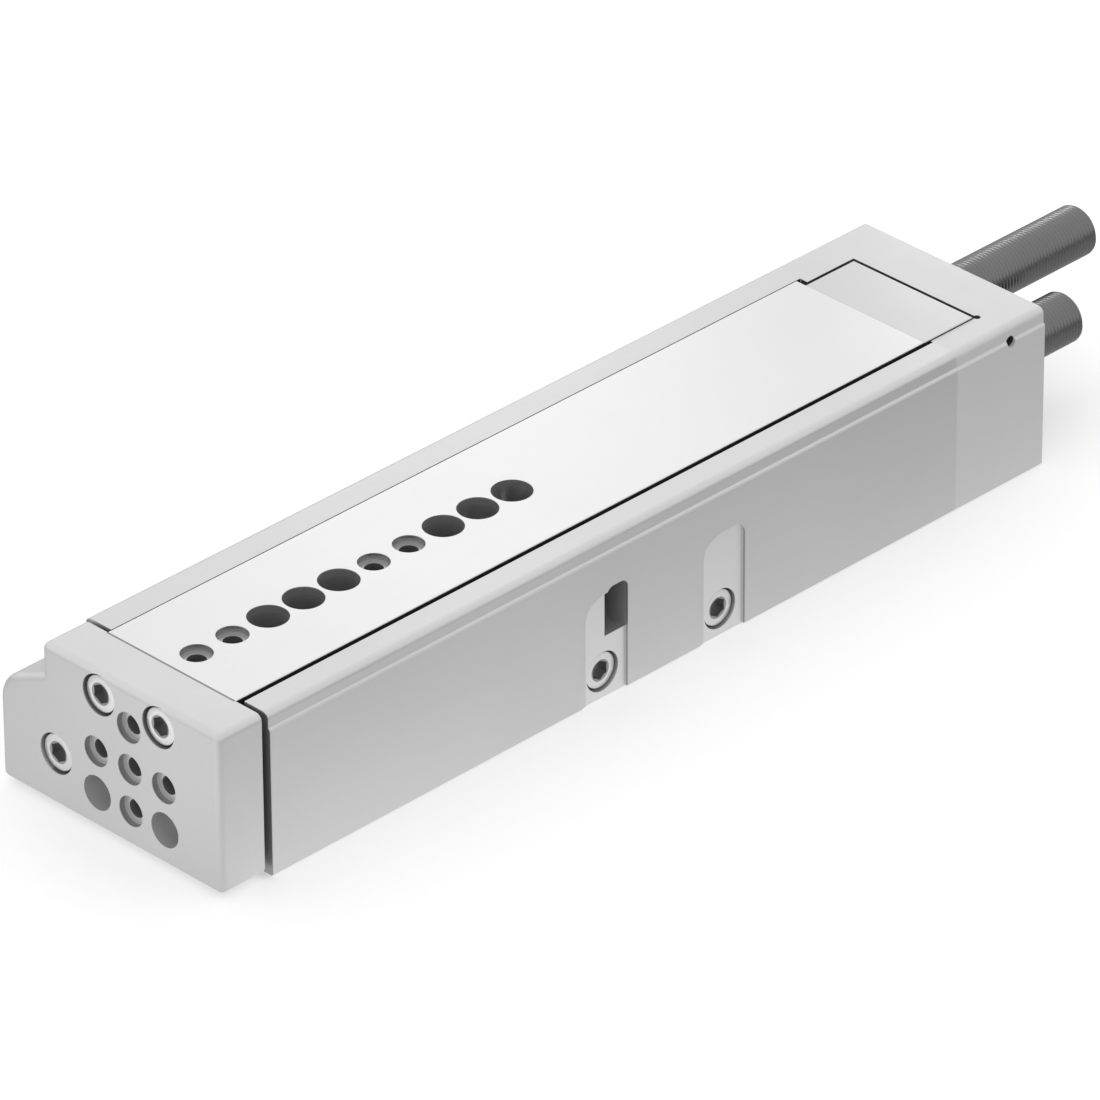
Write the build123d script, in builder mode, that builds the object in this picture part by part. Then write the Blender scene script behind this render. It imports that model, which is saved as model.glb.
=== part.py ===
from build123d import *
from math import radians, tan
import os

# Pneumatic slide table: a ball-guided table on a flat housing with the cylinder in a side lobe.
# Millimetres. X is the travel, +X towards the yoke; +Y is the side with the pockets; +Z is up.
# The origin lies on the underside, on the centre plane, midway along housing and end cap.
# The table is drawn fully retracted and the shock absorber plungers fully out.

# Driving sizes of the body
stroke = 100.0
body_length = 229.5
cap_length = 27.35
body_height = 38.6
half_width = 27.0
lobe_reach = 39.0
lobe_crest = 30.6
lobe_slope = 24.0
lobe_radius = 8.0
top_edge_radius = 1.6
foot_edge_radius = 0.5
edge_break = 0.15
ledge_drop = 4.1
ledge_depth = 0.5
ledge_rise = 0.6

# Driving sizes of the table
table_rise = 0.4
table_half = 18.8
table_gap_left = 0.6
table_gap_right = 0.95
lip_thickness = 3.4
plate_thickness = 7.7
leg_inner = 14.0
leg_outer = 17.4
yoke_gap = 1.65
tail_gap = 1.9
solid_margin = 2.7

# Rear block behind the table
block_left = -16.05
block_right = 18.9
block_length = 15.1
window_gap = 1.2
window_fit = 0.15
relief_radius = 0.8
relief_depth = 4.0

# Ball guide
ball_radius = 2.0
ball_pitch = 8.0
ball_count = 12
groove_clearance = 0.06
rail_width = 5.0
rail_height = 8.0
rail_end_gap = 1.0
cage_thickness = 1.2
cage_height = 6.0
cage_margin = 4.5
cage_end_gap = 0.7

# Yoke plate
yoke_thickness = 12.0
yoke_left = 25.75
yoke_right = 26.5
yoke_foot = 1.1
yoke_edge_radius = 1.6
grid_pitch = 10.0
grid_z = 19.7
locating_radius = 4.0
locating_depth = 8.0

# Threads, screws and clearances
m5 = 5.0
m4 = 4.0
m3 = 3.0
m25 = 2.5
tap_share = 0.42
head_share = 0.85
socket_share = 0.4
centring_radius = 3.5
centring_depth = 1.6
access_radius = 4.5
thread_clearance = 0.05
fit_clearance = 0.02
seat_clearance = 0.3
sliding_clearance = 0.4
head_recess = 0.6
head_room = 0.45
tap_reserve = 1.0

# Cylinder
bore_radius = 8.0
bore_y = -22.2
bore_z = 13.7
rod_radius = 4.0
rod_clearance = 0.03
piston_clearance = 0.07
piston_land = 0.8
lip_seal_width = 2.6
lip_seal_floor = 6.0
magnet_width = 3.6
magnet_floor = 6.4
bumper_length = 2.0
bumper_radius = 6.5
gland_length = 12.0
gland_setback = 2.5
rod_seal_radius = 6.2
rod_seal_length = 3.0
wiper_lip = 0.8
o_ring_setback = 1.6
o_ring_width = 2.0
o_ring_depth = 1.4
retaining_ring_thickness = 1.0
retaining_ring_reach = 1.5
retaining_ring_gap = 5.0
ring_groove_depth = 0.6
port_thread_depth = 5.0
port_passage_radius = 1.0
sensor_groove_z = 5.6
sensor_groove_depth = 2.4
sensor_groove_radius = 1.6
sensor_groove_mouth = 2.2

# Shock absorbers and stops
absorber_radius = 6.0
absorber_length = 75.4
absorber_chamfer = 0.8
absorber_travel = 8.0
front_absorber_y = -7.6
front_absorber_drop = 6.3
front_absorber_overhang = 48.65
rear_absorber_y = 9.7
rear_absorber_drop = 5.5
rear_absorber_overhang = 25.55
plunger_radius = 2.0
plunger_hidden = 15.0
plunger_head = 1.3
buffer_radius = 4.0
buffer_thickness = 1.4
boss_wall = 2.2
block_foot_half = 2.6
lock_recess = 0.95
well_right = 17.0
well_clearance = 1.2
well_margin = 3.6
stop_thickness = 8.0
stop_floor = 2.3
stop_left = -11.7
stop_bar_left = 8.5
stop_right = 18.5
stop_post_right = 0.8
stop_bar_overhang = 8.0
stop_screw_setback = 4.0
stop_bar_wall = 1.2
lug_thickness = 8.0
lug_left = 3.0
lug_reach = 5.3
pin_radius = 2.0
pin_y = 13.5
pin_drop = 4.3
pin_depth = 11.0
lock_setback = 2.4

# Pockets on the visible side
pocket_depth = 0.7
pocket_lead = 6.9
pocket_width = 14.1
pocket_run_out = 2.4
pocket_top = 25.4
pocket_front_radius = 8.0
pocket_rear_radius = 3.0
pocket_pitch = 35.0
slot_width = 6.2
slot_top = 26.4
slot_foot = 14.6
slot_corner_radius = 2.0
side_screw_z = 6.3

# Mounting holes
first_hole_setback = 7.15
table_hole_pitch = 10.0
table_threads = (0, 1, 5, 6)
table_bores = (2, 3, 4, 7, 8, 9)
table_thread_depth = 9.0
access_hole = 3
through_pitch = 120.0
through_seat_z = 6.0
foot_thread_inset = 34.75
foot_thread_y = 10.0
foot_thread_depth = 9.0
foot_centring_inset = 54.75

# Places of the fasteners and their lengths
yoke_screw_y = 8.8
yoke_screw_drop = 5.4
yoke_screw_length = 16.0
side_screw_length = 10.0
cap_screw_left = -31.5
cap_screw_right = 22.0
cap_screw_low = 8.0
cap_screw_high = 20.6
cap_screw_depth = 16.0
cap_screw_length = 18.0
block_screw_y = 8.0
block_screw_drop = 3.9
block_screw_length = 20.0
lug_screw_offset = 2.6
lug_screw_grip = 4.0
pin_lock_length = 6.0
absorber_lock_length = 4.0

# Derived places along X
front = body_length / 2
rear = -body_length / 2
cap_front = rear + cap_length
housing_length = front - cap_front
table_nose = front + yoke_gap
table_tail = cap_front + tail_gap
table_length = table_nose - table_tail
yoke_front = table_nose + yoke_thickness
block_tail = table_tail - block_length
window_rear = block_tail - window_gap
lock_x = window_rear - lock_setback
table_hole_x = table_nose - first_hole_setback
through_front_x = table_hole_x - access_hole * table_hole_pitch
foot_thread_x = front - foot_thread_inset
foot_centring_x = front - foot_centring_inset

# Derived places of the channel, the guide and the cages
table_z = body_height + table_rise
ledge_z = body_height - ledge_drop
crest_fall = tan(radians(lobe_slope))
yoke_crest = lobe_crest + (half_width - yoke_left) * crest_fall
throat_left = -table_half - table_gap_left
throat_right = table_half + table_gap_right
window_left = block_left - window_gap
window_right = block_right + window_fit
rail_top = body_height - lip_thickness
rail_bottom = rail_top - rail_height
leg_bottom = rail_bottom + seat_clearance
flange_bottom = rail_top + seat_clearance
plate_bottom = table_z - plate_thickness
ball_z = rail_top - rail_height / 2
yoke_screw_z = table_z - yoke_screw_drop
block_screw_z = table_z - block_screw_drop
pin_z = table_z - pin_drop
ball_y = leg_outer + ball_radius / 2
rail_inner = ball_y + ball_radius / 2
rail_outer = rail_inner + rail_width
groove_radius = ball_radius + groove_clearance
rail_start = cap_front + rail_end_gap
rail_stop = front - rail_end_gap
cage_length = (ball_count - 1) * ball_pitch + 2 * cage_margin
cage_start = table_tail + stroke / 2 + cage_end_gap

# Derived places of the cylinder: the piston stands one seat clearance off the rear bumper
gland_back = front - gland_setback - gland_length
gland_front = gland_back + gland_length
piston_radius = bore_radius - piston_clearance
piston_front = gland_back - bumper_length - stroke
piston_back = piston_front - 4 * piston_land - 2 * lip_seal_width - magnet_width
rear_lip_x = piston_back + piston_land
magnet_x = rear_lip_x + lip_seal_width + piston_land
front_lip_x = magnet_x + magnet_width + piston_land
bore_bottom = piston_back - seat_clearance - bumper_length
o_ring_x = gland_back + o_ring_setback
port_rear_x = bore_bottom + bumper_length
port_front_x = gland_back - port_passage_radius

# Derived places of the absorbers, the lug and the advance stop
front_absorber_tail = rear - front_absorber_overhang
rear_absorber_tail = rear - rear_absorber_overhang
front_absorber_z = plate_bottom - front_absorber_drop
rear_absorber_z = front_absorber_z - rear_absorber_drop
boss_radius = absorber_radius + boss_wall
lock_reach = absorber_radius + absorber_lock_length + thread_clearance
front_lock_z = front_absorber_z - lock_reach
rear_lock_z = rear_absorber_z - lock_reach
block_foot_z = front_lock_z - lock_recess
well_floor = block_foot_z - well_clearance
plunger_reach = absorber_travel + seat_clearance
tip_reach = absorber_length + plunger_reach + plunger_head + buffer_thickness
front_tip = front_absorber_tail + tip_reach
rear_tip = rear_absorber_tail + tip_reach
stop_face = front_tip + stroke + seat_clearance
stop_front = stop_face + stop_thickness
solid_from = stop_front + solid_margin
side_screw_x = stop_face - stop_screw_setback
pocket_rear = side_screw_x - pocket_lead
stop_back = side_screw_x - pocket_pitch - stop_bar_overhang
stop_bar_top = side_screw_z + m5 / 2 + stop_bar_wall
stop_post_top = plate_bottom - 2 * sliding_clearance
well_left = front_absorber_y - block_foot_half - sliding_clearance
lug_face = rear_tip + seat_clearance
lug_right = leg_inner - seat_clearance
lug_x = lug_face + lug_thickness / 2
lug_bottom = rear_absorber_z - lug_reach
well_front = lug_face + lug_thickness + stroke + well_margin
lug_seat_z = lug_bottom + head_recess + m25

# Planes that many features share
side = Plane.XZ.offset(-half_width)
lobe_face = Plane.XZ.offset(lobe_reach)
underside = Plane.XY

os.makedirs("parts", exist_ok=True)


def keep(piece, label):
    """Labels a finished sub-part and writes its STEP file."""
    piece.part.label = label
    export_step(piece.part, f"parts/{label}.step")


def across(x):
    """Plane square to the travel, drawn in Y and Z, facing the yoke."""
    return Plane.YZ.offset(x)


def facing_front(x, y, z):
    """Plane at a point, facing the yoke's side."""
    return Plane(origin=(x, y, z), x_dir=(0, 1, 0), z_dir=(1, 0, 0))


def facing_back(x, y, z):
    """Plane at a point, facing away from the yoke."""
    return Plane(origin=(x, y, z), x_dir=(0, -1, 0), z_dir=(-1, 0, 0))


def facing_side(x, y, z):
    """Plane at a point, facing the side with the pockets."""
    return Plane(origin=(x, y, z), x_dir=(-1, 0, 0), z_dir=(0, 1, 0))


def facing_down(x, y, z):
    """Plane at a point, facing down."""
    return Plane(origin=(x, y, z), x_dir=(1, 0, 0), z_dir=(0, 0, -1))


def pin(plane, radius, length, mode=Mode.ADD):
    """Adds or cuts a plain cylinder that runs along the plane's normal."""
    with BuildSketch(plane) as section:
        Circle(radius)
    extrude(section.sketch, amount=length, mode=mode)


def ring(plane, inner, outer, length, mode=Mode.ADD):
    """Adds or cuts a plain ring that runs along the plane's normal."""
    with BuildSketch(plane) as section:
        Circle(outer)
        Circle(inner, mode=Mode.SUBTRACT)
    extrude(section.sketch, amount=length, mode=mode)


def hex_socket(plane, size, depth):
    """Cuts a hexagonal socket inwards from the plane."""
    with BuildSketch(plane) as section:
        RegularPolygon(size, 6, major_radius=False)
    extrude(section.sketch, amount=-depth, mode=Mode.SUBTRACT)


def cap_screws(seats, size, length):
    """Adds a socket head cap screw at each seat plane, whose normal leaves through the head."""
    for seat in seats:
        pin(seat, head_share * size, size)
        pin(seat, size / 2 - thread_clearance, -length)
        hex_socket(seat.offset(size), socket_share * size, size / 2)


def screw_bores(seats, size, head_depth, tap_depth=0):
    """Cuts a clearance bore and a head bore at each seat, or a thread's bore when a depth is given."""
    for seat in seats:
        if tap_depth:
            pin(seat, size / 2, -tap_depth, Mode.SUBTRACT)
        else:
            pin(seat, size / 2 + seat_clearance, -body_height, Mode.SUBTRACT)
            pin(seat, head_share * size + head_room, head_depth, Mode.SUBTRACT)


def set_screw(mouth, size, length):
    """Adds a headless screw that runs inwards from the mouth plane."""
    pin(mouth, size / 2 - thread_clearance, -length)
    hex_socket(mouth, size / 4, size / 2)


def body_outline(left, right, foot, top, crest):
    """Stepped outline with the cylinder lobe on the left, drawn in Y and Z."""
    lobe_top = crest - (lobe_reach - left) * crest_fall
    Polygon(
        (-lobe_reach, foot), (right, foot), (right, top),
        (-left, top), (-left, crest), (-lobe_reach, lobe_top),
    )


def round_lobe(profile):
    """Rounds the lobe's outer corner in a body outline."""
    fillet(profile.vertices().group_by(Axis.X)[0].sort_by(Axis.Y)[-1], lobe_radius)


def body_section(profile):
    """Rounded section that housing and end cap share, with the ledge along the visible side."""
    body_outline(half_width, half_width, 0, body_height, lobe_crest)
    round_lobe(profile)
    ledge_y = half_width - ledge_depth
    Polygon(
        (half_width, ledge_z), (half_width, body_height),
        (ledge_y, body_height), (ledge_y, ledge_z + ledge_rise),
        mode=Mode.SUBTRACT,
    )
    fillet(profile.vertices().group_by(Axis.Y)[-1], top_edge_radius)
    fillet(profile.vertices().group_by(Axis.Y)[0], foot_edge_radius)


def well_section():
    """Section of the milled well under the table, with the trough of the absorber boss."""
    with Locations((well_left, well_floor)):
        Rectangle(well_right - well_left, rail_bottom - well_floor, align=Align.MIN)
    with Locations((front_absorber_y, front_absorber_z)):
        Circle(boss_radius + sliding_clearance)


# Seats of the fasteners
yoke_seat_x = yoke_front - head_recess - m5
yoke_seats = [facing_front(yoke_seat_x, y, yoke_screw_z) for y in (-yoke_screw_y, yoke_screw_y)]
rod_seat = facing_front(yoke_seat_x, bore_y, bore_z)
yoke_tap_depth = yoke_screw_length + tap_reserve
side_screw_places = [side_screw_x - i * pocket_pitch for i in (0, 1)]
side_seat_y = half_width - pocket_depth - head_recess - m5
side_seats = [facing_side(x, side_seat_y, side_screw_z) for x in side_screw_places]
cap_seat_x = rear + cap_screw_depth
cap_rows = (cap_screw_low, cap_screw_high)
cap_seats = [facing_back(cap_seat_x, y, z) for y in (cap_screw_left, cap_screw_right) for z in cap_rows]
block_seat_x = block_tail + m3 + head_recess
block_seats = [facing_back(block_seat_x, y, block_screw_z) for y in (-block_screw_y, block_screw_y)]
lug_middle = (lug_left + lug_right) / 2
lug_rows = (lug_middle - lug_screw_offset, lug_middle + lug_screw_offset)
lug_seats = [facing_down(lug_x, y, lug_seat_z) for y in lug_rows]
lug_screw_length = plate_bottom - lug_seat_z + lug_screw_grip
block_lock_x = (block_tail + table_tail) / 2
cap_lock_x = (rear + window_rear) / 2

# Housing: extruded body with the table's channel, the guide space, the well and the cylinder bore
with BuildPart() as housing:
    with BuildSketch(across(cap_front)) as body_profile:
        body_section(body_profile)
        with Locations((throat_left, rail_top)):
            Rectangle(throat_right - throat_left, body_height, align=Align.MIN, mode=Mode.SUBTRACT)
        with Locations((-rail_outer, rail_bottom)):
            Rectangle(2 * rail_outer, rail_height, align=Align.MIN, mode=Mode.SUBTRACT)
    extrude(amount=housing_length)
    with BuildSketch(across(cap_front)):
        well_section()
    extrude(amount=well_front - cap_front, mode=Mode.SUBTRACT)
    # Seat of the advance stop, sunk beside the well and across it
    with BuildSketch(Plane.XY.offset(stop_floor)):
        with Locations((stop_back - seat_clearance, stop_bar_left - seat_clearance)):
            bar_space = stop_front - stop_back + 2 * seat_clearance
            Rectangle(bar_space, stop_right - stop_bar_left + seat_clearance, align=Align.MIN)
        with Locations((stop_face - seat_clearance, stop_left - seat_clearance)):
            foot_space = stop_right - stop_left + seat_clearance
            Rectangle(stop_thickness + 2 * seat_clearance, foot_space, align=Align.MIN)
    extrude(amount=rail_bottom - stop_floor, mode=Mode.SUBTRACT)
    # Cylinder bore, blind from the front, with the retaining ring's groove
    pin(facing_front(bore_bottom, bore_y, bore_z), bore_radius, front - bore_bottom, Mode.SUBTRACT)
    groove = facing_front(gland_front, bore_y, bore_z)
    groove_length = retaining_ring_thickness + 2 * thread_clearance
    pin(groove, bore_radius + ring_groove_depth, groove_length, Mode.SUBTRACT)
    # Supply ports on the lobe's face, each with a passage into one end of the bore
    with BuildSketch(lobe_face):
        with Locations((port_rear_x, bore_z), (port_front_x, bore_z)):
            Circle(port_passage_radius)
    extrude(amount=-(lobe_reach + bore_y), mode=Mode.SUBTRACT)
    with BuildSketch(lobe_face):
        with Locations((port_rear_x, bore_z), (port_front_x, bore_z)):
            Circle(m5 * tap_share)
    extrude(amount=-port_thread_depth, mode=Mode.SUBTRACT)
    # Sensor groove along the lobe, round inside and narrow at its mouth
    with BuildSketch(across(cap_front)):
        with Locations((sensor_groove_depth - lobe_reach, sensor_groove_z)):
            Circle(sensor_groove_radius)
        with Locations((-lobe_reach, sensor_groove_z)):
            Rectangle(2 * sensor_groove_depth, sensor_groove_mouth)
    extrude(amount=housing_length, mode=Mode.SUBTRACT)
    # Pockets on the visible side, open at the foot and running out to the front, with the screw
    # bores and the inspection slot
    for shift in (0, -pocket_pitch):
        for inset, depth in ((0, 0), (pocket_run_out, pocket_depth)):
            with BuildSketch(side.offset(depth)) as pocket:
                with Locations((pocket_rear + shift, -foot_edge_radius)):
                    Rectangle(pocket_width - inset, pocket_top + foot_edge_radius, align=Align.MIN)
                fillet(pocket.vertices().group_by(Axis.Y)[-1].sort_by(Axis.X)[0], pocket_rear_radius)
                front_corner = pocket.vertices().group_by(Axis.Y)[-1].sort_by(Axis.X)[-1]
                fillet(front_corner, pocket_front_radius - inset)
        loft(ruled=True, mode=Mode.SUBTRACT)
    with BuildSketch(side):
        with Locations(*[(x, side_screw_z) for x in side_screw_places]):
            Circle(head_share * m5 + head_room)
    extrude(amount=half_width - side_seat_y, mode=Mode.SUBTRACT)
    with BuildSketch(side):
        with Locations(*[(x, side_screw_z) for x in side_screw_places]):
            Circle(m5 / 2 + seat_clearance)
    extrude(amount=half_width - stop_right, mode=Mode.SUBTRACT)
    with BuildSketch(side) as slot:
        with Locations((pocket_rear, slot_foot)):
            Rectangle(slot_width, slot_top - slot_foot, align=Align.MIN)
        fillet(slot.vertices().group_by(Axis.Y)[-1], slot_corner_radius)
    extrude(amount=half_width - well_right, mode=Mode.SUBTRACT)
    # Mounting through holes on the centre plane, reached through the table's bores
    with BuildSketch(underside):
        with Locations((through_front_x, 0), (through_front_x - through_pitch, 0)):
            Circle(m5 / 2 + seat_clearance)
    extrude(amount=through_seat_z, mode=Mode.SUBTRACT)
    with BuildSketch(Plane.XY.offset(through_seat_z)):
        with Locations((through_front_x, 0), (through_front_x - through_pitch, 0)):
            Circle(access_radius)
    extrude(amount=rail_bottom - through_seat_z, mode=Mode.SUBTRACT)
    # Threads and centring bores in the underside
    with BuildSketch(underside):
        with GridLocations(2 * foot_thread_x, 2 * foot_thread_y, 2, 2):
            Circle(m5 * tap_share)
    extrude(amount=foot_thread_depth, mode=Mode.SUBTRACT)
    with BuildSketch(underside):
        with GridLocations(2 * foot_centring_x, 0, 2, 1):
            Circle(centring_radius)
    extrude(amount=centring_depth, mode=Mode.SUBTRACT)
    screw_bores(cap_seats, m4, 0, cap_screw_length + tap_reserve)
keep(housing, "housing")

# End cap: closes the rear, frames the block behind the table and holds the rear absorber
with BuildPart() as end_cap:
    with BuildSketch(across(rear)) as cap_profile:
        body_section(cap_profile)
    extrude(amount=cap_length)
    with BuildSketch(across(window_rear)):
        well_section()
        with Locations((window_left, rail_bottom)):
            Rectangle(window_right - window_left, body_height, align=Align.MIN)
    extrude(amount=cap_front - window_rear, mode=Mode.SUBTRACT)
    with BuildSketch(Plane.XY.offset(body_height)):
        with Locations((window_rear, window_right)):
            Circle(relief_radius)
    extrude(amount=-relief_depth, mode=Mode.SUBTRACT)
    # Holes in the rear wall: one grips the rear absorber, the other lets the front one slide through
    wall = window_rear - rear
    rear_grip = facing_front(rear, rear_absorber_y, rear_absorber_z)
    pin(rear_grip, absorber_radius + fit_clearance, wall, Mode.SUBTRACT)
    front_pass = facing_front(rear, front_absorber_y, front_absorber_z)
    pin(front_pass, absorber_radius + sliding_clearance, wall, Mode.SUBTRACT)
    pin_seat = facing_front(window_rear, pin_y, pin_z)
    pin(pin_seat, pin_radius + fit_clearance, -pin_depth, Mode.SUBTRACT)
    with BuildSketch(side):
        with Locations((lock_x, pin_z)):
            Circle(m25 / 2)
    extrude(amount=half_width - pin_y, mode=Mode.SUBTRACT)
    with BuildSketch(underside):
        with Locations((cap_lock_x, rear_absorber_y)):
            Circle(m3 / 2)
    extrude(amount=rear_absorber_z, mode=Mode.SUBTRACT)
    screw_bores(cap_seats, m4, cap_screw_depth)
keep(end_cap, "end_cap")

with BuildPart() as end_cap_screws:
    cap_screws(cap_seats, m4, cap_screw_length)
keep(end_cap_screws, "end_cap_screws")

# Ball guide: grooved rails, punched cages and the balls, alike on both sides
ball_places = [cage_start + cage_margin + i * ball_pitch for i in range(ball_count)]
for hand, sign in (("left", -1), ("right", 1)):
    with BuildPart() as guide_rail:
        with BuildSketch(across(rail_start)):
            with Locations((sign * (rail_inner + rail_outer) / 2, (rail_bottom + rail_top) / 2)):
                Rectangle(rail_width, rail_height)
            with Locations((sign * ball_y, ball_z)):
                Circle(groove_radius, mode=Mode.SUBTRACT)
        extrude(amount=rail_stop - rail_start)
    keep(guide_rail, f"guide_rail_{hand}")
    with BuildPart() as ball_cage:
        with BuildSketch(Plane.XZ.offset(-sign * ball_y - cage_thickness / 2)):
            with Locations((cage_start + cage_length / 2, ball_z)):
                RectangleRounded(cage_length, cage_height, cage_thickness)
            with Locations(*[(x, ball_z) for x in ball_places]):
                Circle(groove_radius, mode=Mode.SUBTRACT)
        extrude(amount=cage_thickness)
    keep(ball_cage, f"ball_cage_{hand}")
    with BuildPart() as guide_balls:
        with Locations(*[(x, sign * ball_y, ball_z) for x in ball_places]):
            Sphere(ball_radius)
    keep(guide_balls, f"guide_balls_{hand}")

# Slide table: ground plate with two legs that carry the inner ball grooves
with BuildPart() as slide_table:
    with BuildSketch(across(table_tail)):
        with Locations((0, flange_bottom)):
            Rectangle(2 * table_half, table_z - flange_bottom, align=(Align.CENTER, Align.MIN))
        with Locations((0, leg_bottom)):
            Rectangle(2 * leg_outer, table_z - leg_bottom, align=(Align.CENTER, Align.MIN))
        with Locations((-ball_y, ball_z), (ball_y, ball_z)):
            Circle(groove_radius, mode=Mode.SUBTRACT)
    extrude(amount=table_length)
    with BuildSketch(across(table_tail)):
        with Locations((0, leg_bottom)):
            Rectangle(2 * leg_inner, plate_bottom - leg_bottom, align=(Align.CENTER, Align.MIN))
    extrude(amount=solid_from - table_tail, mode=Mode.SUBTRACT)
    chamfer(slide_table.edges().filter_by(Axis.X).group_by(Axis.Z)[-1], edge_break)
    with Locations(*[(table_hole_x - i * table_hole_pitch, 0, table_z) for i in table_threads]):
        CounterBoreHole(m5 * tap_share, centring_radius, centring_depth, depth=table_thread_depth)
    with Locations(*[(table_hole_x - i * table_hole_pitch, 0, table_z) for i in table_bores]):
        Hole(access_radius, depth=table_z - leg_bottom)
    screw_bores(yoke_seats, m5, 0, yoke_tap_depth)
    screw_bores(block_seats, m3, 0, block_screw_length + tap_reserve)
    screw_bores(lug_seats, m25, 0, lug_screw_length + seat_clearance)
keep(slide_table, "slide_table")

# Rear block: bolted behind the table, clamps the absorber that travels with it
with BuildPart() as rear_block:
    with BuildSketch(across(block_tail)):
        with Locations((block_left, leg_bottom)):
            Rectangle(block_right - block_left, table_z - leg_bottom, align=Align.MIN)
        with Locations((front_absorber_y, front_absorber_z)):
            Circle(boss_radius)
        with Locations((front_absorber_y, block_foot_z)):
            foot_height = front_absorber_z - block_foot_z
            Rectangle(2 * block_foot_half, foot_height, align=(Align.CENTER, Align.MIN))
        with Locations((front_absorber_y, front_absorber_z)):
            Circle(absorber_radius + fit_clearance, mode=Mode.SUBTRACT)
    extrude(amount=block_length)
    chamfer(rear_block.edges().group_by(Axis.Z)[-1], edge_break)
    with BuildSketch(Plane.XY.offset(block_foot_z)):
        with Locations((block_lock_x, front_absorber_y)):
            Circle(m3 / 2)
    extrude(amount=front_absorber_z - block_foot_z, mode=Mode.SUBTRACT)
    screw_bores(block_seats, m3, block_seat_x - block_tail)
keep(rear_block, "rear_block")

with BuildPart() as rear_block_screws:
    cap_screws(block_seats, m3, block_screw_length)
keep(rear_block_screws, "rear_block_screws")

# Set screws that lock the two absorbers from below
with BuildPart() as front_absorber_lock:
    set_screw(facing_down(block_lock_x, front_absorber_y, front_lock_z), m3, absorber_lock_length)
keep(front_absorber_lock, "front_absorber_lock")

with BuildPart() as rear_absorber_lock:
    set_screw(facing_down(cap_lock_x, rear_absorber_y, rear_lock_z), m3, absorber_lock_length)
keep(rear_absorber_lock, "rear_absorber_lock")

# Retract lug: hangs under the table and meets the rear absorber
with BuildPart() as retract_lug:
    with BuildSketch(Plane.XY.offset(lug_bottom)) as lug_profile:
        with Locations((lug_face, lug_left)):
            Rectangle(lug_thickness, lug_right - lug_left, align=Align.MIN)
        fillet(lug_profile.vertices(), edge_break)
    extrude(amount=plate_bottom - lug_bottom)
    with BuildSketch(Plane.XY.offset(lug_seat_z)):
        with Locations(*[(lug_x, y) for y in lug_rows]):
            Circle(m25 / 2 + fit_clearance)
    extrude(amount=plate_bottom - lug_seat_z, mode=Mode.SUBTRACT)
    with BuildSketch(Plane.XY.offset(lug_bottom)):
        with Locations(*[(lug_x, y) for y in lug_rows]):
            Circle(head_share * m25 + head_room / 2)
    extrude(amount=lug_seat_z - lug_bottom, mode=Mode.SUBTRACT)
keep(retract_lug, "retract_lug")

with BuildPart() as retract_lug_screws:
    cap_screws(lug_seats, m25, lug_screw_length)
keep(retract_lug_screws, "retract_lug_screws")

# Advance stop: bar screwed to the side wall, with a post in the path of the travelling absorber
with BuildPart() as advance_stop:
    with BuildSketch(Plane.XY.offset(stop_floor)):
        with Locations((stop_back, stop_bar_left)):
            Rectangle(stop_front - stop_back, stop_right - stop_bar_left, align=Align.MIN)
        with Locations((stop_face, stop_left)):
            Rectangle(stop_thickness, stop_right - stop_left, align=Align.MIN)
    extrude(amount=stop_bar_top - stop_floor)
    with BuildSketch(Plane.XY.offset(stop_bar_top)):
        with Locations((stop_face, stop_left)):
            Rectangle(stop_thickness, stop_post_right - stop_left, align=Align.MIN)
    extrude(amount=stop_post_top - stop_bar_top)
    chamfer(advance_stop.edges().group_by(Axis.Z)[-1], 2 * edge_break)
    screw_bores(side_seats, m5, 0, side_seat_y - stop_bar_left)
keep(advance_stop, "advance_stop")

with BuildPart() as side_screws:
    cap_screws(side_seats, m5, side_screw_length)
keep(side_screws, "side_screws")

# Retract stop pin in the cap's rear wall, with the set screw that locks it from the side
with BuildPart() as retract_stop_pin:
    pin(pin_seat.offset(-pin_depth), pin_radius, pin_depth + window_gap - thread_clearance)
    chamfer(retract_stop_pin.faces().sort_by(Axis.X)[-1].edges(), edge_break)
keep(retract_stop_pin, "retract_stop_pin")

with BuildPart() as stop_pin_lock:
    lock_mouth_y = pin_y + pin_radius + fit_clearance + pin_lock_length
    set_screw(facing_side(lock_x, lock_mouth_y, pin_z), m25, pin_lock_length)
keep(stop_pin_lock, "stop_pin_lock")

# Shock absorbers: threaded tubes, each with its sprung plunger and buffer
absorbers = (
    ("front", front_absorber_tail, front_absorber_y, front_absorber_z),
    ("rear", rear_absorber_tail, rear_absorber_y, rear_absorber_z),
)
for place, tail, y, z in absorbers:
    nose = facing_front(tail + absorber_length, y, z)
    with BuildPart() as absorber:
        pin(nose, absorber_radius, -absorber_length)
        chamfer(absorber.edges().filter_by(GeomType.CIRCLE), absorber_chamfer)
        plunger_space = plunger_hidden + plunger_reach + seat_clearance
        pin(nose, plunger_radius + thread_clearance, -plunger_space, Mode.SUBTRACT)
        hex_socket(facing_back(tail, y, z), socket_share * m5, m5 / 2)
    keep(absorber, f"absorber_{place}")
    with BuildPart() as plunger:
        pin(nose.offset(-plunger_hidden), plunger_radius, plunger_hidden + plunger_reach)
        pin(nose.offset(plunger_reach), buffer_radius, plunger_head)
    keep(plunger, f"plunger_{place}")
    with BuildPart() as buffer:
        pin(nose.offset(plunger_reach + plunger_head), buffer_radius, buffer_thickness)
        fillet(buffer.faces().sort_by(Axis.X)[-1].edges(), buffer_thickness / 2)
    keep(buffer, f"plunger_buffer_{place}")

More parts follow.
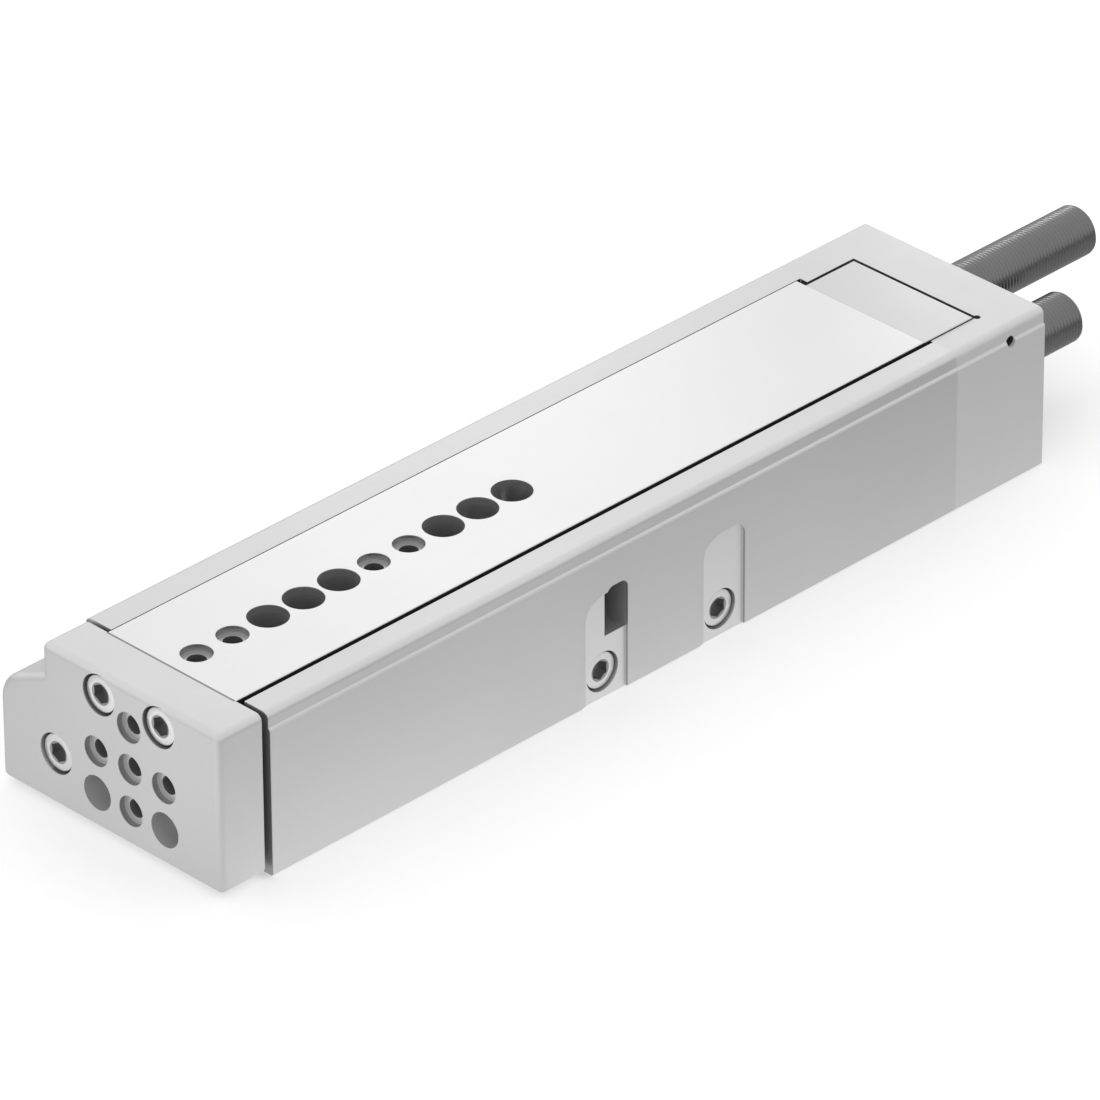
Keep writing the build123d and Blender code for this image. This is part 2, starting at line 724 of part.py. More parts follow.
# Yoke plate: joins the table to the piston rod and takes the load at the front
with BuildPart() as yoke_plate:
    with BuildSketch(across(table_nose)) as yoke_profile:
        body_outline(yoke_left, yoke_right, yoke_foot, table_z, yoke_crest)
        round_lobe(yoke_profile)
        fillet(yoke_profile.vertices().group_by(Axis.Y)[0], yoke_edge_radius)
        fillet(yoke_profile.vertices().group_by(Axis.Y)[-1], yoke_edge_radius)
    extrude(amount=yoke_thickness)
    fillet(yoke_plate.faces().sort_by(Axis.X)[-1].outer_wire().edges(), yoke_edge_radius)
    screw_bores([*yoke_seats, rod_seat], m5, yoke_front - yoke_seat_x)
    with BuildSketch(across(yoke_front)):
        with Locations((0, grid_z)):
            Circle(m5 * tap_share)
            with PolarLocations(grid_pitch, 4):
                Circle(m5 * tap_share)
    extrude(amount=-yoke_thickness, mode=Mode.SUBTRACT)
    with BuildSketch(across(yoke_front)):
        with Locations((0, grid_z)):
            Circle(centring_radius)
            with PolarLocations(grid_pitch, 4):
                Circle(centring_radius)
    extrude(amount=-centring_depth, mode=Mode.SUBTRACT)
    with BuildSketch(across(yoke_front)):
        with Locations((-grid_pitch, grid_z - grid_pitch), (grid_pitch, grid_z - grid_pitch)):
            Circle(locating_radius)
    extrude(amount=-locating_depth, mode=Mode.SUBTRACT)
keep(yoke_plate, "yoke_plate")

with BuildPart() as yoke_screws:
    cap_screws(yoke_seats, m5, yoke_screw_length)
keep(yoke_screws, "yoke_screws")

with BuildPart() as rod_screw:
    cap_screws([rod_seat], m5, yoke_screw_length)
keep(rod_screw, "rod_screw")

# Piston rod, piston, its two lip seals and the magnet ring between them
with BuildPart() as piston_rod:
    pin(facing_front(piston_back, bore_y, bore_z), rod_radius, table_nose - piston_back)
    screw_bores([rod_seat], m5, 0, yoke_tap_depth)
keep(piston_rod, "piston_rod")

with BuildPart() as piston:
    piston_seat = facing_front(piston_back, bore_y, bore_z)
    ring(piston_seat, rod_radius + fit_clearance, piston_radius, piston_front - piston_back)
    for x in (rear_lip_x, front_lip_x):
        groove = facing_front(x, bore_y, bore_z)
        ring(groove, lip_seal_floor, bore_radius, lip_seal_width, Mode.SUBTRACT)
    groove = facing_front(magnet_x, bore_y, bore_z)
    ring(groove, magnet_floor, bore_radius, magnet_width, Mode.SUBTRACT)
keep(piston, "piston")

with BuildPart() as piston_seals:
    for x in (rear_lip_x, front_lip_x):
        groove = facing_front(x + fit_clearance, bore_y, bore_z)
        lip_width = lip_seal_width - 2 * fit_clearance
        ring(groove, lip_seal_floor + fit_clearance, bore_radius - rod_clearance, lip_width)
keep(piston_seals, "piston_seals")

with BuildPart() as magnet_ring:
    groove = facing_front(magnet_x + fit_clearance, bore_y, bore_z)
    ring(groove, magnet_floor + fit_clearance, piston_radius, magnet_width - 2 * fit_clearance)
keep(magnet_ring, "magnet_ring")

# Cylinder head: gland bush with its O-ring, rod seal, wiper and retaining ring, and the bumpers
with BuildPart() as rod_gland:
    gland_seat = facing_front(gland_back, bore_y, bore_z)
    ring(gland_seat, rod_radius + rod_clearance, bore_radius - fit_clearance, gland_length)
    pin(gland_seat.offset(gland_length), rod_seal_radius, -2 * rod_seal_length, Mode.SUBTRACT)
    o_ring_floor = bore_radius - o_ring_depth
    ring(gland_seat.offset(o_ring_setback), o_ring_floor, bore_radius, o_ring_width, Mode.SUBTRACT)
keep(rod_gland, "rod_gland")

with BuildPart() as gland_o_ring:
    o_ring_middle = o_ring_x + o_ring_width / 2
    with Locations(facing_front(o_ring_middle, bore_y, bore_z)):
        Torus(bore_radius - o_ring_depth / 2, o_ring_depth / 2 - fit_clearance)
keep(gland_o_ring, "gland_o_ring")

with BuildPart() as rod_seal:
    seal_seat = facing_front(gland_front - 2 * rod_seal_length, bore_y, bore_z)
    seal_outer = rod_seal_radius - fit_clearance
    ring(seal_seat, rod_radius + rod_clearance, seal_outer, rod_seal_length - fit_clearance)
keep(rod_seal, "rod_seal")

with BuildPart() as rod_wiper:
    wiper_seat = facing_front(gland_front - rod_seal_length, bore_y, bore_z)
    ring(wiper_seat, rod_radius + rod_clearance, rod_seal_radius - fit_clearance, rod_seal_length)
    chamfer(rod_wiper.faces().sort_by(Axis.X)[-1].edges().sort_by(SortBy.LENGTH)[-1], wiper_lip)
keep(rod_wiper, "rod_wiper")

with BuildPart() as retaining_ring:
    ring_seat = facing_front(gland_front + thread_clearance, bore_y, bore_z)
    ring_outer = bore_radius + ring_groove_depth - fit_clearance
    ring(ring_seat, bore_radius - retaining_ring_reach, ring_outer, retaining_ring_thickness)
    with BuildSketch(ring_seat):
        Rectangle(retaining_ring_gap, 2 * bore_radius, align=(Align.CENTER, Align.MAX))
    extrude(amount=retaining_ring_thickness, mode=Mode.SUBTRACT)
keep(retaining_ring, "retaining_ring")

with BuildPart() as front_bumper:
    ring(gland_seat, rod_radius + seat_clearance, bumper_radius, -(bumper_length - thread_clearance))
keep(front_bumper, "front_bumper")

with BuildPart() as rear_bumper:
    pin(facing_front(bore_bottom, bore_y, bore_z), bumper_radius, bumper_length)
keep(rear_bumper, "rear_bumper")
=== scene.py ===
import math

import bpy
from mathutils import Matrix, Vector


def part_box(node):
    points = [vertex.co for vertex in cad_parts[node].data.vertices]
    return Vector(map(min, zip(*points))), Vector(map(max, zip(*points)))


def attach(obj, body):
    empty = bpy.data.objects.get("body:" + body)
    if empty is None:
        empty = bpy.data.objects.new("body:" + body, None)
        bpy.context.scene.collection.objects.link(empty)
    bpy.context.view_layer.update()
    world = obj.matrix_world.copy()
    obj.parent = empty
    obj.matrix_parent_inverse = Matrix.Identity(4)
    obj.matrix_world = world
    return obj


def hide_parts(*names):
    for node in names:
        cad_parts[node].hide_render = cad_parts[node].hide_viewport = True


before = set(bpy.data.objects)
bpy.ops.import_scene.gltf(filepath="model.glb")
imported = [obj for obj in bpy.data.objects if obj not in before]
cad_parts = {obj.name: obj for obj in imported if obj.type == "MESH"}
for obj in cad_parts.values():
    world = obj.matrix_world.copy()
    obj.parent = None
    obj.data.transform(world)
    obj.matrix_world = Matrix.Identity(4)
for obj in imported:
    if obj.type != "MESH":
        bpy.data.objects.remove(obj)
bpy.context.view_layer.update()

bl_info = {
    "name": "Pneumatic slide table looks",
    "version": (1, 0, 0),
    "blender": (4, 5, 0),
    "location": "View3D > Sidebar > Slide Table",
    "description": "Threads, screws, finishes, floor and light of a pneumatic slide table",
    "category": "Object",
}

MM = 0.001
WHITE = (1, 1, 1, 1)
FRONT = Vector((1, 0, 0))
BACK = Vector((-1, 0, 0))
SIDE = Vector((0, 1, 0))
DOWN = Vector((0, 0, -1))

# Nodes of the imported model, grouped by the finish they get
HARD_NODES = ("guide_rail_left", "guide_rail_right", "retract_stop_pin", "advance_stop", "retract_lug")
CAGE_NODES = ("ball_cage_left", "ball_cage_right")
BALL_NODES = ("guide_balls_left", "guide_balls_right")
SET_SCREW_NODES = ("front_absorber_lock", "rear_absorber_lock", "stop_pin_lock")
CHROME_NODES = ("piston_rod", "plunger_front", "plunger_rear")
BUFFER_NODES = ("plunger_buffer_front", "plunger_buffer_rear", "front_bumper", "rear_bumper")
RUBBER_NODES = ("piston_seals", "gland_o_ring", "rod_seal", "rod_wiper")
TURNED_NODES = ("piston", "rod_gland")

# Nodes of cap screws: the way their heads face, their thread's diameter, and their body
CAP_SCREW_NODES = (
    ("yoke_screws", FRONT, 5 * MM, "table"),
    ("rod_screw", FRONT, 5 * MM, "table"),
    ("side_screws", SIDE, 5 * MM, "housing"),
    ("end_cap_screws", BACK, 4 * MM, "housing"),
    ("rear_block_screws", BACK, 3 * MM, "table"),
    ("retract_lug_screws", DOWN, 2.5 * MM, "table"),
)
# Vertices of one screw lie closer than this across its axis, and those of two screws further apart
SCREW_REACH = 9 * MM

# A socket head cap screw, as shares of its thread's diameter
HEAD_RADIUS = 0.85
HEAD_RIM = 0.07
SOCKET_HALF = 0.4
SOCKET_DEPTH = 0.5
MOUTH_RADIUS = 0.54
MOUTH_LENGTH = 0.18
MOUTH_SINK = 0.08
# Faces this deep and inside this radius get the painted shade of the socket
PAINTED_SHADE_RADIUS = 0.56
PAINTED_SHADE_DEPTH = 0.004
SCREW_PITCH = 0.16
SCREW_THREAD = 0.09
SCREW_CHAMFER = 0.1
SHANK_OVERLAP = 0.02
SHANK_PLAY = 0.05 * MM

# Threads: faces round one turn, and how close two turns' points are to be one
THREAD_STEPS = 40
THREAD_MERGE = 0.02 * MM
CUT_TOLERANCE = 1e-7

# Inside of an absorber tube: the plunger's bore, and the hexagon in the tail that turns the tube
PLUNGER_BORE = 2.05 * MM
BORE_BEHIND = 10 * MM
TAIL_HALF = 2.0 * MM
TAIL_DEPTH = 2.5 * MM
HEXAGON_CORNER = 1 / math.cos(math.pi / 6)
CREASE = math.radians(30)

# Zones of colour, most of them painted shade: the spare past a piece, the skin left to a face, and the
# centring recesses
SPARE = 1 * MM
ZONE_EDGE = 0.1 * MM
BORE_SKIN = 0.12 * MM
CHANNEL_SKIN = 0.05 * MM
EDGE_SKIN = 0.4 * MM
RECESS_DEPTH = 1.6 * MM
SEAT_SKIN = 0.08 * MM
THREAD_SKIN = 0.1 * MM

# Patterns of the metals and mouldings
DRIFT_SIZE = 40 * MM
CLOUD_SIZE = 6 * MM
RELIEF_HEIGHT = 0.05 * MM
ROUGH_SPREAD = 0.05

# Floor: its size, how far it lies under the object, its paint, and the glow that makes it white
FLOOR_SIZE = 12
FLOOR_DROP = 0.1 * MM
FLOOR_PAINT = (0.8, 0.8, 0.8, 1)
FLOOR_GLOW = 0.30
# Places along X where the floor's glow, a painted pool of light, is set, by which setting, and what is added
# to it
FLOOR_STOPS = (
    (-0.16, "floor_rear", 0.0),
    (-0.06, "floor_rear", 0.07),
    (0.06, "floor_beside", 0.0),
    (0.12, "floor_beside", 0.06),
    (0.13, "floor_shaded", 0.0),
    (0.17, "floor_front", 0.0),
)
FLOOR_REACH = 0.2
# Distances from the X axis between which that light falls
FLOOR_FALL = (0.02, 0.16)

# Sideways part of the direction between which the sky goes from one strength to the other
SKY_TURN = (-0.3, 0.6)
# Lamps: name, place, the point it faces, its two widths, and its power in watts
LAMPS = (
    ("table_lamp", (-0.163, -0.212, 0.195), (0.012, -0.027, 0.04), (0.15, 0.15), 0.019),
    ("tube_lamp", (-0.205, -0.072, 0.078), (-0.205, -0.0076, 0.031), (0.07, 0.012), 0.011),
)
SENSOR_WIDTH = 36
CLIP_END = 20


def corners(node):
    """Lowest and highest corner of a CAD node at rest."""
    low, high = (Vector(corner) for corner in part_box(node))
    return low, high


def screw_places(node, direction):
    """Middle and length of each screw in a CAD node, found by where the vertices lie across its axis."""
    across = [axis for axis in range(3) if abs(direction[axis]) < 0.5]
    along = next(axis for axis in range(3) if axis not in across)
    screws = []
    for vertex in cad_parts[node].data.vertices:
        point = vertex.co.copy()
        for screw in screws:
            if all(abs(screw[0][axis] - point[axis]) < SCREW_REACH for axis in across):
                screw.append(point)
                break
        else:
            screws.append([point])
    places = []
    for screw in screws:
        low = Vector([min(point[axis] for point in screw) for axis in range(3)])
        high = Vector([max(point[axis] for point in screw) for axis in range(3)])
        places.append(((low + high) / 2, high[along] - low[along]))
    return places


def linear(hex_colour):
    """Turns an sRGB hex colour into the linear RGBA that shaders take."""
    channels = [int(hex_colour[i : i + 2], 16) / 255 for i in (0, 2, 4)]
    low = [c / 12.92 if c <= 0.04045 else ((c + 0.055) / 1.055) ** 2.4 for c in channels]
    return (*low, 1.0)


def add_node(tree, kind, links=None, **settings):
    """Adds a shader node, sets its properties or unlinked inputs (i6 is input 6), and links inputs."""
    node = tree.nodes.new(kind)
    for name, value in settings.items():
        if hasattr(node, name):
            setattr(node, name, value)
        else:
            key = int(name[1:]) if name[1:].isdigit() else name
            node.inputs[key].default_value = value
    for name, source in (links or {}).items():
        tree.links.new(source, node.inputs[name])
    return node


def ranges(start, end, at_start, at_end):
    """The four limits of a Map Range node, by the names of its inputs."""
    return {"From Min": start, "From Max": end, "To Min": at_start, "To Max": at_end}


def start_material(name):
    """Gives an empty material, its node tree and its Object coordinates."""
    material = bpy.data.materials.new(name)
    material.use_nodes = True
    tree = material.node_tree
    tree.nodes.clear()
    place = add_node(tree, "ShaderNodeTexCoord").outputs["Object"]
    return material, tree, place


def finish_material(tree, shader):
    """Links the shader to the material's output."""
    add_node(tree, "ShaderNodeOutputMaterial", {"Surface": shader.outputs[0]})


def inside_box(tree, place, low, high):
    """Gives a socket that is 1 within a box of the object's own space and 0 outside it."""
    centre = [(a + b) / 2 for a, b in zip(low, high)]
    half = [(b - a) / 2 for a, b in zip(low, high)]
    offset = add_node(tree, "ShaderNodeVectorMath", {0: place}, operation="SUBTRACT", i1=centre)
    reach = add_node(tree, "ShaderNodeVectorMath", {0: offset.outputs[0]}, operation="ABSOLUTE")
    beyond = add_node(tree, "ShaderNodeVectorMath", {0: reach.outputs[0]}, operation="SUBTRACT", i1=half)
    x, y, z = add_node(tree, "ShaderNodeSeparateXYZ", {0: beyond.outputs[0]}).outputs
    pair = add_node(tree, "ShaderNodeMath", {0: x, 1: y}, operation="MAXIMUM")
    most = add_node(tree, "ShaderNodeMath", {0: pair.outputs[0], 1: z}, operation="MAXIMUM")
    limits = ranges(-ZONE_EDGE, 0.0, 1.0, 0.0)
    return add_node(tree, "ShaderNodeMapRange", {"Value": most.outputs[0]}, **limits).outputs[0]


def zone(shade, x, y, z):
    """A zone of colour: its lowest corner, its highest corner and the shade that faces inside it have."""
    return (x[0], y[0], z[0]), (x[1], y[1], z[1]), shade


def whole_reach(low, high):
    """From end to end of a piece on each axis, with a spare past both ends."""
    return [(low[axis] - SPARE, high[axis] + SPARE) for axis in range(3)]


def recess_levels(face):
    """Under the face: back and front of the centring recesses' floors, and where the threads start."""
    floor = face - RECESS_DEPTH
    return floor - SEAT_SKIN, floor + SEAT_SKIN, floor - THREAD_SKIN


def varied_metal(name, shade, tint, streak, grain, rough, metallic=1.0, bump=0.1, zones=()):
    """Metal with machining streaks, a fine grain and a faint drift of colour over centimetres.

    streak is the number of lines per metre along X, Y and Z, and grain the size of one grain. Real lines
    and grains are several times finer, and are drawn as coarse as they need to be to show at all."""
    material, tree, place = start_material(name)
    stretched = add_node(tree, "ShaderNodeMapping", {"Vector": place}, Scale=streak)
    lines = add_node(tree, "ShaderNodeTexNoise", {"Vector": stretched.outputs[0]}, Detail=3.0, Scale=1.0)
    grit = add_node(tree, "ShaderNodeTexNoise", {"Vector": place}, Detail=2.0, Scale=1 / grain)
    drift = add_node(tree, "ShaderNodeTexNoise", {"Vector": place}, Detail=2.0, Scale=1 / DRIFT_SIZE)
    colour = add_node(
        tree, "ShaderNodeMix", {0: drift.outputs["Fac"]}, data_type="RGBA", i6=linear(shade), i7=linear(tint),
    )
    # Each zone lays its colour over the metal; most zones are painted shade in gaps, bores and recesses
    for low, high, zone_shade in zones:
        links = {0: inside_box(tree, place, low, high), 6: colour.outputs[2]}
        colour = add_node(tree, "ShaderNodeMix", links, data_type="RGBA", i7=linear(zone_shade))
    links = {0: lines.outputs["Fac"], 1: grit.outputs["Fac"]}
    both = add_node(tree, "ShaderNodeMath", links, operation="ADD")
    limits = ranges(0.6, 1.4, rough - ROUGH_SPREAD, rough + ROUGH_SPREAD)
    roughness = add_node(tree, "ShaderNodeMapRange", {"Value": both.outputs[0]}, **limits)
    relief = add_node(
        tree, "ShaderNodeBump", {"Height": both.outputs[0]}, Strength=bump, Distance=RELIEF_HEIGHT,
    )
    links = {
        "Base Color": colour.outputs[2],
        "Roughness": roughness.outputs[0],
        "Normal": relief.outputs[0],
    }
    shader = add_node(tree, "ShaderNodeBsdfPrincipled", links, Metallic=metallic)
    finish_material(tree, shader)
    return material


def anodised_extrusion(settings):
    """Drawn and clear anodised aluminium of the housing: even satin silver with faint lines along the travel.

    The milled pockets are cleaner and paler; the channel, slot, screw seats, the pockets' rear steps, the
    front face and the ledge get painted shade."""
    low, high = corners("housing")
    x, y, z = whole_reach(low, high)
    # Painted shade in the channel under the table, on the front face across the gap and on the ledge's slope
    channel_y, channel_z = (-19.8 * MM, 19.8 * MM), (low.z + 5 * MM, high.z - CHANNEL_SKIN)
    ledge_y, ledge_z = (high.y - 0.46 * MM, high.y - 0.04 * MM), (high.z - 4.8 * MM, high.z - 3.9 * MM)
    gap_face_x = (high.x - 0.2 * MM, x[1])
    zones = [
        zone(settings.gap_painted_shade, x, channel_y, channel_z),
        zone(settings.gap_face_painted_shade, gap_face_x, y, (low.z, high.z - EDGE_SKIN)),
        zone(settings.ledge_painted_shade, x, ledge_y, ledge_z),
    ]
    pocket_tail, pocket_nose, pocket_top = 7.0 * MM, 7.4 * MM, 25.6 * MM
    bore_depth, bore_foot, bore_top = 12 * MM, 0.5 * MM, 27 * MM
    step_width, skin = 0.3 * MM, 0.06 * MM
    floor = high.y - settings.pocket_depth
    # Painted shade in each pocket's screw bore and slot, and on its rear step; the paler floor is the milled
    # finish
    for screw, _ in screw_places("side_screws", SIDE):
        rear, front = screw.x - pocket_tail, screw.x + pocket_nose
        pocket_z = (z[0], pocket_top)
        bore_y = (high.y - bore_depth, floor - skin)
        zones += [
            zone(settings.pocket_shade, (rear, front), (floor - skin, floor + skin), pocket_z),
            zone(settings.bore_painted_shade, (rear, front), bore_y, (bore_foot, bore_top)),
            zone(settings.deep_painted_shade, (rear, rear + step_width), (floor + skin, high.y - skin), pocket_z),
        ]
    return varied_metal(
        "clear_anodised_extrusion", settings.body_shade, settings.body_tint, streak=(30, 1500, 1500),
        grain=0.5 * MM, rough=0.42, metallic=settings.body_metallic, bump=0.08, zones=zones,
    )


def blasted_aluminium(settings):
    """Milled, bead blasted and anodised aluminium of the end cap: a shade paler and more matt.

    The window round the rear block and the hole of the lock screw get painted shade."""
    low, high = corners("end_cap")
    block_low, block_high = corners("rear_block")
    window_gap = 3 * MM
    window = zone(
        settings.gap_painted_shade, (block_low.x - window_gap, high.x + SPARE),
        (block_low.y - window_gap, block_high.y + window_gap), (low.z + 5 * MM, high.z - CHANNEL_SKIN),
    )
    lock_y, lock_z = (high.y - 8 * MM, high.y - 0.7 * MM), (20 * MM, 37 * MM)
    lock = zone(settings.gap_painted_shade, (low.x + SPARE, high.x - SPARE), lock_y, lock_z)
    return varied_metal(
        "bead_blasted_aluminium", settings.cap_shade, settings.body_tint, streak=(300, 300, 300),
        grain=0.4 * MM, rough=0.50, metallic=settings.cap_metallic, bump=0.10, zones=[window, lock],
    )


def milled_plate(settings):
    """Milled and anodised aluminium of the yoke plate, with painted shade in the screw seats and bores, on
    the lobe and on the back face.
    """
    low, high = corners("yoke_plate")
    x, _, z = whole_reach(low, high)
    seat_back, seat_front, thread_front = recess_levels(high.x)
    gap_face_x = (x[0], low.x + 0.1 * MM)
    gap_face_y, gap_face_z = (low.y + EDGE_SKIN, high.y - EDGE_SKIN), (z[0], high.z - EDGE_SKIN)
    inside_x = (low.x + 0.2 * MM, high.x - BORE_SKIN)
    inside_y, inside_z = (-24 * MM, 24 * MM), (low.z + 1.9 * MM, high.z - 1.9 * MM)
    lobe_y, lobe_z = (low.y + 4 * MM, inside_y[0]), (inside_z[0], 26 * MM)
    joint_x, joint_y, joint_z = (x[0], low.x + 0.4 * MM), (-18.8 * MM, 18.8 * MM), (high.z - SPARE, z[1])
    # Painted shade on the back face across the gap, in the bores, on the lobe, on the recess walls and on the
    # threads
    zones = [
        zone(settings.gap_face_painted_shade, gap_face_x, gap_face_y, gap_face_z),
        zone(settings.bore_painted_shade, inside_x, inside_y, inside_z),
        zone(settings.bore_painted_shade, inside_x, lobe_y, lobe_z),
        zone(settings.recess_painted_shade, (seat_front, inside_x[1]), inside_y, inside_z),
        zone(settings.deep_painted_shade, (inside_x[0], thread_front), inside_y, inside_z),
        zone(settings.seat_shade, (seat_back, seat_front), inside_y, inside_z),
        zone(settings.joint_shade, joint_x, joint_y, joint_z),
    ]
    dowel_reach, dowel_z = 4.4 * MM, (5.3 * MM, 14.1 * MM)
    for middle in (-10 * MM, 10 * MM):
        dowel_y = (middle - dowel_reach, middle + dowel_reach)
        zones.append(zone(settings.dowel_painted_shade, inside_x, dowel_y, dowel_z))
    return varied_metal(
        "milled_anodised_plate", settings.plate_shade, settings.body_tint, streak=(250, 700, 700),
        grain=0.5 * MM, rough=0.44, metallic=settings.body_metallic, bump=0.08, zones=zones,
    )


def milled_block(settings):
    """Milled and anodised aluminium of the rear block; its flanks get painted shade for the dark of the
    window.
    """
    low, high = corners("rear_block")
    x, y, z = whole_reach(low, high)
    flanks = zone(settings.gap_painted_shade, x, y, (z[0], high.z - BORE_SKIN))
    return varied_metal(
        "milled_anodised_block", settings.block_shade, settings.body_tint, streak=(200, 900, 900),
        grain=0.5 * MM, rough=0.40, metallic=settings.body_metallic, bump=0.08, zones=[flanks],
    )


def ground_steel(settings):
    """Surface ground stainless steel of the table: bright, with fine grinding lines along the travel.

    Its drilled bores and its flanks, above the rails, get painted shade."""
    low, high = corners("slide_table")
    x, y, z = whole_reach(low, high)
    seat_back, seat_front, thread_front = recess_levels(high.z)
    bores_x, bores_y = (low.x + 5 * MM, high.x - 0.2 * MM), (-12 * MM, 12 * MM)
    bore_foot, bore_top = low.z + 0.2 * MM, high.z - BORE_SKIN
    joint_x, flank_top = (high.x - 0.22 * MM, x[1]), high.z - 0.25 * MM
    # Painted shade in the bores, and on the flanks that lie in the channel
    zones = [zone(settings.bore_painted_shade, bores_x, bores_y, (bore_foot, bore_top))]
    # The two pairs of threads with a centring recess over them, in the row of ten holes, with painted shade
    # on their walls and threads
    recess_y = (-4 * MM, 4 * MM)
    for recess_x in ((44.5 * MM, 64.2 * MM), (94.5 * MM, 114 * MM)):
        zones += [
            zone(settings.recess_painted_shade, recess_x, recess_y, (bore_foot, bore_top)),
            zone(settings.deep_painted_shade, recess_x, recess_y, (bore_foot, thread_front)),
        ]
    zones += [
        zone(settings.seat_shade, bores_x, bores_y, (seat_back, seat_front)),
        zone(settings.joint_shade, joint_x, y, (flank_top, z[1])),
        zone(settings.gap_painted_shade, x, (high.y - EDGE_SKIN, y[1]), (z[0], flank_top)),
        zone(settings.gap_painted_shade, x, (y[0], low.y + EDGE_SKIN), (z[0], flank_top)),
    ]
    return varied_metal(
        "surface_ground_steel", settings.table_shade, settings.table_tint, streak=(40, 2200, 2200),
        grain=0.4 * MM, rough=0.34, metallic=settings.table_metallic, bump=0.10, zones=zones,
    )


def hardened_steel():
    """Hardened and ground bearing steel: darker and smoother than the table."""
    return varied_metal(
        "hardened_ground_steel", "9A9B9C", "8C8D8F", streak=(60, 1800, 1800), grain=0.4 * MM, rough=0.28,
    )


def punched_strip():
    """Cold rolled strip, punched: matt, with a faint rolling direction."""
    return varied_metal(
        "punched_steel_strip", "A5A39C", "96948D", streak=(50, 1200, 1200), grain=0.4 * MM, rough=0.45,
    )


def bearing_balls():
    """Polished bearing steel: nearly a mirror, without lines."""
    return varied_metal(
        "polished_bearing_steel", "C8C9CB", "BFC0C2", streak=(300, 300, 300), grain=0.8 * MM,
        rough=0.08, bump=0.01,
    )


def zinc_plated(settings):
    """Zinc plated screw steel: pale, bright edges, slightly cloudy."""
    return varied_metal(
        "zinc_plated_steel", settings.screw_shade, "E4E4E4", streak=(500, 500, 500), grain=0.3 * MM,
        rough=0.30,
    )


def socket_steel(settings):
    """Forged inside of a screw's hexagon socket: the same plating, darkened by painted shade."""
    return varied_metal(
        "painted_shade_socket_plating", settings.socket_painted_shade, "9C9C9C", streak=(500, 500, 500), grain=0.3 * MM,
        rough=0.45,
    )


def burnished_tube(settings):
    """Rolled thread on a burnished tube: dark grey steel with a soft shine on the crests."""
    return varied_metal(
        "burnished_steel", settings.tube_shade, settings.tube_tint, streak=(900, 250, 250), grain=0.5 * MM,
        rough=0.30, bump=0.03,
    )


def hard_chrome():
    """Ground and hard chrome plated rod: bright and smooth."""
    return varied_metal(
        "hard_chrome", "C4C6C9", "BABCC0", streak=(900, 900, 900), grain=0.3 * MM, rough=0.12, bump=0.02,
    )


def turned_aluminium():
    """Turned aluminium, bare: fine rings across the axis."""
    return varied_metal(
        "turned_aluminium", "BDBEC0", "B0B1B3", streak=(2500, 60, 60), grain=0.4 * MM, rough=0.30,
    )


def moulded(name, shade, tint, rough, grain):
    """Moulded plastic or rubber with a fine mould texture and a faint cloudiness."""
    material, tree, place = start_material(name)
    cloud = add_node(tree, "ShaderNodeTexNoise", {"Vector": place}, Scale=1 / CLOUD_SIZE, Detail=2.0)
    grit = add_node(tree, "ShaderNodeTexNoise", {"Vector": place}, Scale=1 / grain, Detail=2.0)
    colour = add_node(
        tree, "ShaderNodeMix", {0: cloud.outputs["Fac"]}, data_type="RGBA", i6=linear(shade), i7=linear(tint),
    )
    relief = add_node(
        tree, "ShaderNodeBump", {"Height": grit.outputs["Fac"]}, Strength=0.2, Distance=RELIEF_HEIGHT,
    )
    links = {"Base Color": colour.outputs[2], "Normal": relief.outputs[0]}
    shader = add_node(tree, "ShaderNodeBsdfPrincipled", links, Roughness=rough)
    finish_material(tree, shader)
    return material


def urethane():
    """Moulded urethane of the buffers and bumpers: dark, slightly waxy."""
    return moulded("moulded_urethane", "2E2D2C", "353433", rough=0.5, grain=0.4 * MM)


def nitrile():
    """Nitrile rubber of the seals: black and matt."""
    return moulded("nitrile_rubber", "161616", "1D1D1D", rough=0.7, grain=0.3 * MM)


def ferrite():
    """Plastic bonded ferrite of the magnet ring: charcoal, dull."""
    return moulded("bonded_ferrite", "242426", "2C2C2E", rough=0.6, grain=0.4 * MM)


